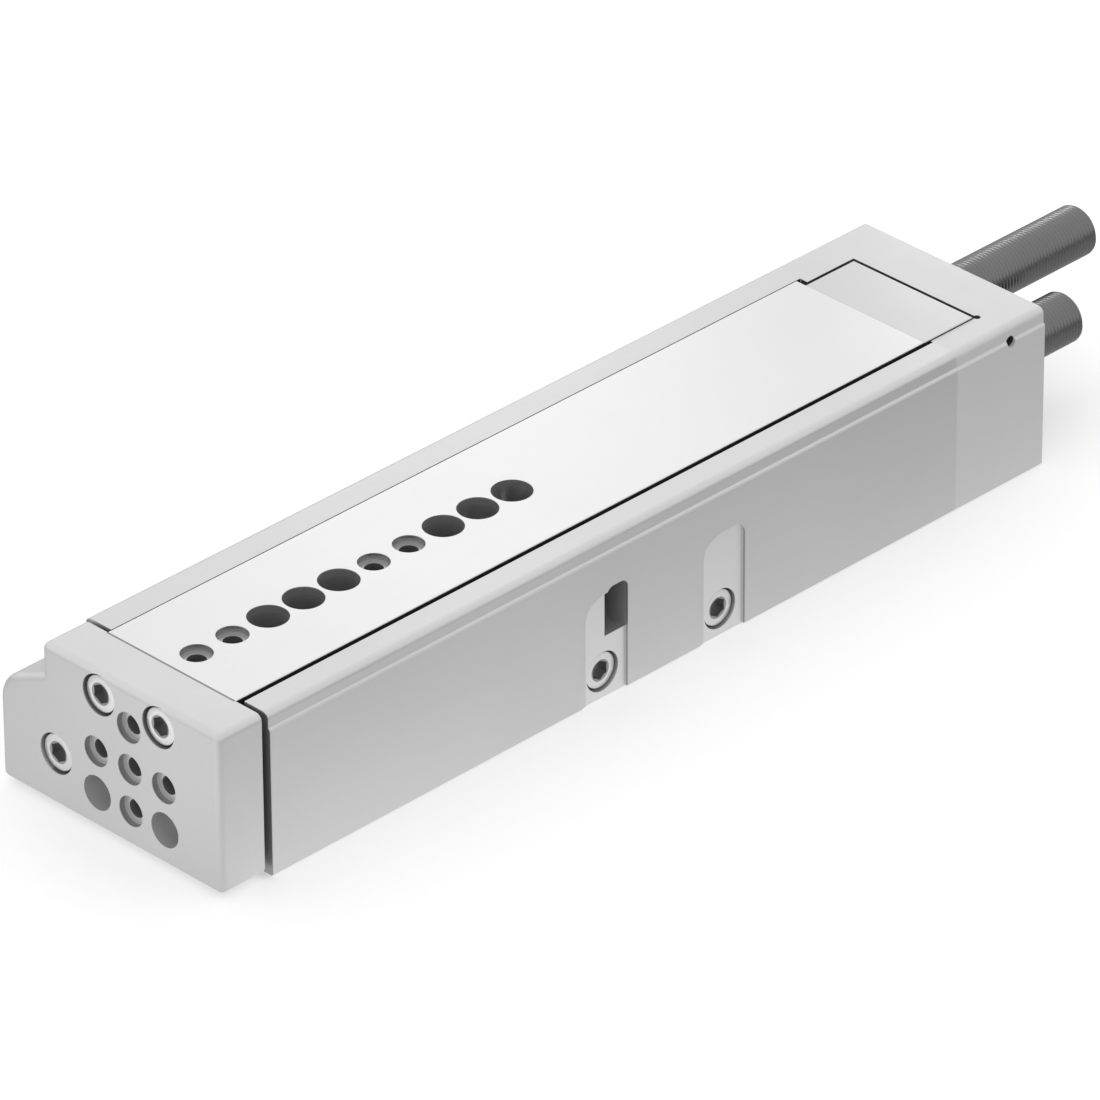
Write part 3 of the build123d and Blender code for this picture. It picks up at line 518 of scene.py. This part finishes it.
def pale_floor(stage):
    """Matt painted floor: white to the camera, with the object's soft shadow kept.

    To the object it is a glow: a painted pool of light along X as the settings say, falling off to both
    sides, with a painted shadow close before the yoke's front."""
    material, tree, place = start_material("pale_floor")
    coat = add_node(tree, "ShaderNodeBsdfDiffuse", Color=FLOOR_PAINT)
    glow = add_node(tree, "ShaderNodeEmission", Color=WHITE, Strength=FLOOR_GLOW)
    seen = add_node(tree, "ShaderNodeAddShader", {0: coat.outputs[0], 1: glow.outputs[0]})
    x, y, _ = add_node(tree, "ShaderNodeSeparateXYZ", {0: place}).outputs
    span = add_node(tree, "ShaderNodeMapRange", {"Value": x}, **ranges(-FLOOR_REACH, FLOOR_REACH, 0.0, 1.0))
    along = add_node(tree, "ShaderNodeValToRGB", {"Fac": span.outputs[0]})
    stops = along.color_ramp.elements
    ends = list(stops)
    for where, setting, extra in FLOOR_STOPS:
        light = getattr(stage, setting) + extra
        stops.new((where / FLOOR_REACH + 1) / 2).color = (light, light, light, 1)
    for end in ends:
        stops.remove(end)
    aside = add_node(tree, "ShaderNodeMath", {0: y}, operation="ABSOLUTE")
    across = add_node(
        tree, "ShaderNodeMapRange", {"Value": aside.outputs[0]}, interpolation_type="SMOOTHSTEP",
        **ranges(*FLOOR_FALL, 1.0, stage.floor_aside),
    )
    pool = add_node(tree, "ShaderNodeMath", {0: along.outputs[0], 1: across.outputs[0]}, operation="MULTIPLY")
    # The glow that the object sees: painted light, with a painted shadow before the yoke
    lit = add_node(tree, "ShaderNodeEmission", {"Strength": pool.outputs[0]}, Color=WHITE)
    to_camera = add_node(tree, "ShaderNodeLightPath").outputs["Is Camera Ray"]
    both = add_node(tree, "ShaderNodeMixShader", {0: to_camera, 1: lit.outputs[0], 2: seen.outputs[0]})
    finish_material(tree, both)
    return material


def dress(names, material):
    """Puts one material on all the named CAD nodes."""
    for name in names:
        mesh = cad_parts[name].data
        mesh.materials.clear()
        mesh.materials.append(material)


def clear_selection():
    """Leaves edit mode and deselects everything, so that an operator meets only its own piece."""
    if bpy.context.object and bpy.context.object.mode != "OBJECT":
        bpy.ops.object.mode_set(mode="OBJECT")
    bpy.ops.object.select_all(action="DESELECT")


def select_only(*pieces):
    """Selects the given pieces; the last one becomes the active one."""
    clear_selection()
    for piece in pieces:
        piece.select_set(True)
    bpy.context.view_layer.objects.active = pieces[-1]


def turn_to(direction):
    """Rotation that takes a primitive's +Z to the given direction."""
    return direction.to_track_quat("Z", "Y").to_euler()


def add_cylinder(radius, depth, foot, direction, sides=48):
    """Adds a cylinder that starts at foot and runs along the direction."""
    clear_selection()
    bpy.ops.mesh.primitive_cylinder_add(
        vertices=sides, radius=radius, depth=depth, location=foot + direction * depth / 2,
        rotation=turn_to(direction),
    )
    return bpy.context.object


def cut(piece, cutter):
    """Takes the cutter's shape out of the piece and removes the cutter."""
    select_only(piece)
    modifier = piece.modifiers.new("cut", "BOOLEAN")
    modifier.operation = "DIFFERENCE"
    modifier.solver = "EXACT"
    modifier.object = cutter
    bpy.ops.object.modifier_apply(modifier=modifier.name)
    bpy.data.objects.remove(cutter)


def join(pieces, name):
    """Joins the pieces into one object with its place in its mesh."""
    select_only(*pieces)
    if len(pieces) > 1:
        bpy.ops.object.join()
    piece = bpy.context.object
    bpy.ops.object.transform_apply(location=True, rotation=True, scale=True)
    bpy.ops.object.origin_set(type="ORIGIN_CURSOR")
    piece.name = name
    piece.data.name = name
    return piece


def smooth(piece):
    """Smooth shading, with the sharp edges kept crisp."""
    select_only(piece)
    bpy.ops.object.shade_smooth_by_angle(angle=CREASE)


def place_in_model(piece, body, replaced):
    """Hangs a finished piece on the body it rides on and hides the CAD node it stands for."""
    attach(piece, body)
    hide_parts(replaced)


def thread(name, foot, direction, length, radius, pitch, depth, chamfer, flat=0.2):
    """Threaded bar: a V profile screwed along the axis, cut flat at both ends and chamfered.

    flat is the share of the pitch that the crest takes."""
    crest = flat * pitch
    flank = (pitch - crest) / 2
    profile = [
        (radius - depth, 0, 0),
        (radius, 0, flank),
        (radius, 0, flank + crest),
        (radius - depth, 0, pitch),
    ]
    mesh = bpy.data.meshes.new(name)
    mesh.from_pydata(profile, [(i, i + 1) for i in range(len(profile) - 1)], [])
    bar = bpy.data.objects.new(name, mesh)
    bpy.context.collection.objects.link(bar)
    select_only(bar)
    screw = bar.modifiers.new("screw", "SCREW")
    screw.screw_offset = pitch
    screw.iterations = int(length / pitch) + 2
    screw.steps = THREAD_STEPS
    screw.render_steps = THREAD_STEPS
    screw.use_merge_vertices = True
    screw.merge_threshold = THREAD_MERGE
    screw.use_normal_calculate = True
    bpy.ops.object.modifier_apply(modifier=screw.name)
    for vertex in bar.data.vertices:
        vertex.co.z -= pitch
    bpy.ops.object.mode_set(mode="EDIT")
    for height, lower in ((0.0, True), (length, False)):
        bpy.ops.mesh.select_all(action="SELECT")
        bpy.ops.mesh.bisect(
            plane_co=(0, 0, height), plane_no=(0, 0, 1), use_fill=True,
            clear_inner=lower, clear_outer=not lower, threshold=CUT_TOLERANCE,
        )
    bpy.ops.mesh.select_all(action="SELECT")
    bpy.ops.mesh.normals_make_consistent(inside=False)
    bpy.ops.object.mode_set(mode="OBJECT")
    for vertex in bar.data.vertices:
        end = min(vertex.co.z, length - vertex.co.z)
        reach = math.hypot(vertex.co.x, vertex.co.y)
        most = radius - max(0.0, chamfer - end)
        if reach > most:
            vertex.co.x *= most / reach
            vertex.co.y *= most / reach
    bar.rotation_euler = turn_to(direction)
    bar.location = foot
    select_only(bar)
    bpy.ops.object.transform_apply(location=True, rotation=True, scale=True)
    return bar


def cap_screw(name, seat, direction, size, shank, finish, painted_shade_finish):
    """Socket head cap screw: chamfered head, hexagon socket with a countersunk mouth, threaded shank."""
    head = add_cylinder(HEAD_RADIUS * size, size, seat, direction)
    bevel = head.modifiers.new("rim", "BEVEL")
    bevel.width = HEAD_RIM * size
    bevel.segments = 2
    bevel.limit_method = "ANGLE"
    bpy.ops.object.modifier_apply(modifier=bevel.name)
    top = seat + direction * size
    socket_foot = top - direction * size * SOCKET_DEPTH
    cut(head, add_cylinder(SOCKET_HALF * size * HEXAGON_CORNER, size, socket_foot, direction, 6))
    clear_selection()
    bpy.ops.mesh.primitive_cone_add(
        vertices=36, radius1=0.0, radius2=MOUTH_RADIUS * size, depth=MOUTH_LENGTH * size,
        location=top - direction * MOUTH_SINK * size, rotation=turn_to(direction),
    )
    cut(head, bpy.context.object)
    head.data.materials.append(finish)
    head.data.materials.append(painted_shade_finish)
    # Faces inside the socket and its mouth get the painted shade
    for face in head.data.polygons:
        offset = head.matrix_world @ face.center - top
        depth = -offset.dot(direction)
        reach = (offset + direction * depth).length
        face.material_index = int(depth > PAINTED_SHADE_DEPTH * size and reach < PAINTED_SHADE_RADIUS * size)
    bar = thread(
        name, seat - direction * shank, direction, shank + SHANK_OVERLAP * size, size / 2 - SHANK_PLAY,
        SCREW_PITCH * size, SCREW_THREAD * size, SCREW_CHAMFER * size,
    )
    return [head, bar]


class TubeSettings(bpy.types.PropertyGroup):
    """Outside thread of the two absorber tubes"""

    pitch: bpy.props.FloatProperty(
        name="Thread pitch", description="Pitch of the absorber tubes' outside thread",
        default=1.0 * MM, unit="LENGTH",
    )
    depth: bpy.props.FloatProperty(
        name="Thread depth", description="Depth of the absorber tubes' outside thread",
        default=0.10 * MM, unit="LENGTH",
    )
    crest: bpy.props.FloatProperty(
        name="Crest width", description="Share of the pitch that the flat crest takes",
        default=0.6, subtype="FACTOR",
    )
    chamfer: bpy.props.FloatProperty(
        name="End chamfer", description="Chamfer at both ends of a tube", default=0.8 * MM, unit="LENGTH",
    )


def colour_setting(name, description, colour):
    """A colour that a user can change, as sRGB hex."""
    return bpy.props.StringProperty(name=name, description=description + ", sRGB hex", default=colour)


class FinishSettings(bpy.types.PropertyGroup):
    """Colours of the visible pieces, and the painted shade of their faces in gaps, bores and recesses"""

    body_shade: colour_setting("Body shade", "Main colour of the anodised housing", "DADADA")
    body_tint: colour_setting("Body drift", "Second colour of the anodised pieces", "D2D2D2")
    cap_shade: colour_setting("Cap shade", "Main colour of the end cap", "DBDBDB")
    plate_shade: colour_setting("Plate shade", "Main colour of the yoke plate", "DEDEDE")
    block_shade: colour_setting("Block shade", "Main colour of the rear block", "CECECE")
    pocket_shade: colour_setting("Pocket shade", "Colour of the milled pocket floors", "F2F2F2")
    # Painted shade: faces deep in the channel, the end cap's window and lock hole, and the flanks of the rear
    # block and table
    gap_painted_shade: colour_setting("Gap shade", "Colour of faces deep in the narrow gaps", "505050")
    # Painted shade on the housing's front face and the yoke plate's back face, across the front gap
    gap_face_painted_shade: colour_setting("Gap face painted shade", "Colour of the faces in painted shade across the front gap", "9A9A9A")
    # Painted shade on drilled walls, in the yoke plate's bores and on its lobe
    bore_painted_shade: colour_setting("Bore shade", "Colour of drilled walls", "C0C0C0")
    # Painted shade on narrow steps and threaded walls
    deep_painted_shade: colour_setting("Deep shade", "Colour of narrow steps and threaded walls", "A4A4A4")
    # Painted shade on the walls of the centring recesses
    recess_painted_shade: colour_setting("Recess shade", "Colour of the walls of the centring recesses", "969696")
    # Painted shade in the dowel bores, lighter than in the other bores
    dowel_painted_shade: colour_setting("Dowel bore shade", "Colour of the reamed dowel bores", "D6D6D6")
    joint_shade: colour_setting("Joint shade", "Colour of the joint between yoke plate and table", "8A8A8A")
    # Painted shade on the ledge's slope, which tones its highlight down
    ledge_painted_shade: colour_setting("Ledge shade", "Colour of the small ledge along the housing's side", "A6A6A6")
    seat_shade: colour_setting("Seat shade", "Colour of the floors of the centring recesses", "E0E0E0")
    table_shade: colour_setting("Table shade", "Main colour of the ground table", "E5E5E5")
    table_tint: colour_setting("Table drift", "Second colour of the ground table", "E1E1E1")
    screw_shade: colour_setting("Screw shade", "Colour of the zinc plated screws", "F2F2F2")
    # Painted shade inside the screws' hexagon sockets
    socket_painted_shade: colour_setting("Socket shade", "Colour inside the screws' hexagon sockets", "A8A8A8")
    tube_shade: colour_setting("Tube shade", "Main colour of the absorber tubes", "7E7E7E")
    tube_tint: colour_setting("Tube drift", "Second colour of the absorber tubes", "707070")
    body_metallic: bpy.props.FloatProperty(
        name="Body metallic", description="How metallic the anodised surfaces look",
        default=0.7, subtype="FACTOR",
    )
    cap_metallic: bpy.props.FloatProperty(
        name="Cap metallic", description="How metallic the blasted end cap looks",
        default=0.3, subtype="FACTOR",
    )
    table_metallic: bpy.props.FloatProperty(
        name="Table metallic", description="How metallic the table looks", default=0.8, subtype="FACTOR",
    )
    pocket_depth: bpy.props.FloatProperty(
        name="Pocket depth", description="Depth of the side pockets, for their paler floor",
        default=0.7 * MM, unit="LENGTH",
    )


class StageSettings(bpy.types.PropertyGroup):
    """Camera, sky, and the light that the floor gives back"""

    azimuth: bpy.props.FloatProperty(
        name="Azimuth", description="Direction of the camera round the object",
        default=math.radians(135.108), subtype="ANGLE",
    )
    elevation: bpy.props.FloatProperty(
        name="Elevation", description="Height angle of the camera",
        default=math.radians(31.149), subtype="ANGLE",
    )
    roll: bpy.props.FloatProperty(
        name="Roll", description="Turn of the camera about its view line",
        default=math.radians(-0.293), subtype="ANGLE",
    )
    distance: bpy.props.FloatProperty(
        name="Distance", description="From the camera to the point it aims at",
        default=2.16597, unit="LENGTH",
    )
    aim: bpy.props.FloatVectorProperty(
        name="Aim", description="Point that the camera aims at",
        default=(7.833 * MM, -0.386 * MM, 19.5 * MM), unit="LENGTH",
    )
    lens: bpy.props.FloatProperty(
        name="Lens", description="Focal length in millimetres on a 36 mm sensor", default=338.914,
    )
    sky: bpy.props.FloatProperty(
        name="Sky", description="Strength of the soft light from the cylinder side", default=1.0,
    )
    sky_aside: bpy.props.FloatProperty(
        name="Sky aside", description="Strength of the soft light from the pocket side", default=0.92,
    )
    floor_front: bpy.props.FloatProperty(
        name="Floor in front", description="Light that the floor gives back 4 cm in front of the yoke",
        default=0.97,
    )
    # Painted shadow in the floor's glow, close before the yoke's front
    floor_shaded: bpy.props.FloatProperty(
        name="Floor at the yoke", description="Light that the floor gives back close to the yoke's front",
        default=0.70,
    )
    floor_beside: bpy.props.FloatProperty(
        name="Floor beside", description="Light that the floor gives back beside the housing", default=0.83,
    )
    floor_rear: bpy.props.FloatProperty(
        name="Floor behind", description="Light that the floor gives back behind the object", default=0.55,
    )
    floor_aside: bpy.props.FloatProperty(
        name="Floor aside", description="Share of that light left 16 cm to the side", default=0.45,
    )


class SLIDE_OT_finishes(bpy.types.Operator):
    """Gives every CAD node the finish of the real piece"""

    bl_idname = "slide_table.finishes"
    bl_label = "Finishes"

    def execute(self, context):
        settings = context.scene.slide_finish
        dress(("housing",), anodised_extrusion(settings))
        dress(("end_cap",), blasted_aluminium(settings))
        dress(("yoke_plate",), milled_plate(settings))
        dress(("rear_block",), milled_block(settings))
        dress(("slide_table",), ground_steel(settings))
        dress(HARD_NODES, hardened_steel())
        dress(CAGE_NODES, punched_strip())
        dress(BALL_NODES, bearing_balls())
        dress(SET_SCREW_NODES, zinc_plated(settings))
        dress(CHROME_NODES, hard_chrome())
        dress(BUFFER_NODES, urethane())
        dress(RUBBER_NODES, nitrile())
        dress(TURNED_NODES, turned_aluminium())
        dress(("magnet_ring",), ferrite())
        dress(("retaining_ring",), burnished_tube(settings))
        return {"FINISHED"}


class SLIDE_OT_absorber_tubes(bpy.types.Operator):
    """Makes the two shock absorber tubes with their fine outside thread, bore and hexagon"""

    bl_idname = "slide_table.absorber_tubes"
    bl_label = "Absorber tubes"

    def execute(self, context):
        tube = context.scene.slide_tube
        material = burnished_tube(context.scene.slide_finish)
        for place, body in (("front", "table"), ("rear", "housing")):
            low, high = corners(f"absorber_{place}")
            length, middle = high.x - low.x, (low + high) / 2
            tail = Vector((low.x, middle.y, middle.z))
            bar = thread(
                f"tube_{place}", tail, FRONT, length, (high.z - low.z) / 2, tube.pitch, tube.depth,
                tube.chamfer, tube.crest,
            )
            plunger_low, _ = corners(f"plunger_{place}")
            bore_foot = Vector((plunger_low.x - BORE_BEHIND, middle.y, middle.z))
            cut(bar, add_cylinder(PLUNGER_BORE, length, bore_foot, FRONT, 32))
            hexagon_foot = tail - FRONT * TAIL_DEPTH
            cut(bar, add_cylinder(TAIL_HALF * HEXAGON_CORNER, 2 * TAIL_DEPTH, hexagon_foot, FRONT, 6))
            piece = join([bar], f"absorber_tube_{place}")
            smooth(piece)
            piece.data.materials.clear()
            piece.data.materials.append(material)
            place_in_model(piece, body, f"absorber_{place}")
        return {"FINISHED"}


class SLIDE_OT_cap_screws(bpy.types.Operator):
    """Makes the socket head cap screws with chamfered heads and real threads"""

    bl_idname = "slide_table.cap_screws"
    bl_label = "Cap screws"

    def execute(self, context):
        finish = zinc_plated(context.scene.slide_finish)
        painted_shade_finish = socket_steel(context.scene.slide_finish)
        for node, direction, size, body in CAP_SCREW_NODES:
            pieces = []
            for centre, length in screw_places(node, direction):
                seat = centre + direction * (length / 2 - size)
                shank = length - size
                pieces += cap_screw(f"{node}_shank", seat, direction, size, shank, finish, painted_shade_finish)
            piece = join(pieces, f"{node}_detail")
            smooth(piece)
            place_in_model(piece, body, node)
        return {"FINISHED"}


class SLIDE_OT_stage(bpy.types.Operator):
    """Sets the floor, the soft light and the camera"""

    bl_idname = "slide_table.stage"
    bl_label = "Stage"

    def execute(self, context):
        stage = context.scene.slide_stage
        self.lay_floor(stage)
        self.light_sky(context, stage)
        self.hang_lamps(context)
        self.aim_camera(context, stage)
        context.scene.view_settings.view_transform = "Standard"
        return {"FINISHED"}

    def lay_floor(self, stage):
        """Plain floor just under the object, so that no two faces share a plane."""
        clear_selection()
        bpy.ops.mesh.primitive_plane_add(size=FLOOR_SIZE, location=(0, 0, -FLOOR_DROP))
        floor = bpy.context.object
        floor.name = "floor"
        floor.data.materials.append(pale_floor(stage))

    def light_sky(self, context, stage):
        """Soft sky, a little weaker on the pocket side, and plain white to the camera."""
        world = bpy.data.worlds.new("soft_sky")
        context.scene.world = world
        world.use_nodes = True
        tree = world.node_tree
        tree.nodes.clear()
        direction = add_node(tree, "ShaderNodeTexCoord").outputs["Generated"]
        _, y, _ = add_node(tree, "ShaderNodeSeparateXYZ", {0: direction}).outputs
        fall = add_node(
            tree, "ShaderNodeMapRange", {"Value": y}, interpolation_type="SMOOTHSTEP",
            **ranges(*SKY_TURN, stage.sky, stage.sky_aside),
        )
        soft = add_node(tree, "ShaderNodeBackground", {"Strength": fall.outputs[0]}, Color=WHITE)
        white = add_node(tree, "ShaderNodeBackground", Color=WHITE, Strength=1.0)
        to_camera = add_node(tree, "ShaderNodeLightPath").outputs["Is Camera Ray"]
        seen = add_node(tree, "ShaderNodeMixShader", {0: to_camera, 1: soft.outputs[0], 2: white.outputs[0]})
        add_node(tree, "ShaderNodeOutputWorld", {"Surface": seen.outputs[0]})

    def hang_lamps(self, context):
        """One near soft lamp for the table, and a long thin one that draws the tubes' line of light."""
        for name, place, target, size, power in LAMPS:
            data = bpy.data.lights.new(name, "AREA")
            data.shape = "ELLIPSE"
            data.size, data.size_y = size
            data.energy = power
            lamp = bpy.data.objects.new(name, data)
            lamp.location = place
            lamp.rotation_euler = turn_to(Vector(place) - Vector(target))
            lamp.visible_camera = False
            context.collection.objects.link(lamp)

    def aim_camera(self, context, stage):
        """Camera at the photograph's angle, distance and framing."""
        level, height = math.cos(stage.elevation), math.sin(stage.elevation)
        back = Vector((math.sin(stage.azimuth) * level, -math.cos(stage.azimuth) * level, height))
        data = bpy.data.cameras.new("camera")
        data.lens = stage.lens
        data.sensor_width = SENSOR_WIDTH
        data.clip_end = CLIP_END
        camera = bpy.data.objects.new("camera", data)
        upright = back.to_track_quat("Z", "Y").to_matrix().to_4x4()
        rolled = upright @ Matrix.Rotation(stage.roll, 4, "Z")
        camera.matrix_world = Matrix.Translation(Vector(stage.aim) + back * stage.distance) @ rolled
        context.collection.objects.link(camera)
        context.scene.camera = camera


class SLIDE_PT_panel(bpy.types.Panel):
    """Lists the steps that dress the slide table, and their settings"""

    bl_idname = "SLIDE_PT_panel"
    bl_label = "Slide Table"
    bl_space_type = "VIEW_3D"
    bl_region_type = "UI"
    bl_category = "Slide Table"

    def draw(self, context):
        for step in STEPS:
            self.layout.operator(step.bl_idname)
        for name, kind in SETTINGS.items():
            for setting in kind.__annotations__:
                self.layout.prop(getattr(context.scene, name), setting)


STEPS = (SLIDE_OT_finishes, SLIDE_OT_absorber_tubes, SLIDE_OT_cap_screws, SLIDE_OT_stage)
SETTINGS = {"slide_tube": TubeSettings, "slide_finish": FinishSettings, "slide_stage": StageSettings}
CLASSES = (*SETTINGS.values(), *STEPS, SLIDE_PT_panel)


def register():
    """Registers the classes and hangs their settings on the scene."""
    for item in CLASSES:
        bpy.utils.register_class(item)
    for name, kind in SETTINGS.items():
        setattr(bpy.types.Scene, name, bpy.props.PointerProperty(type=kind))


def unregister():
    """Takes the settings and classes away again."""
    for name in SETTINGS:
        delattr(bpy.types.Scene, name)
    for item in reversed(CLASSES):
        bpy.utils.unregister_class(item)


def main():
    """Runs every step in order."""
    register()
    bpy.ops.slide_table.finishes()
    bpy.ops.slide_table.absorber_tubes()
    bpy.ops.slide_table.cap_screws()
    bpy.ops.slide_table.stage()


if __name__ == "__main__":
    main()
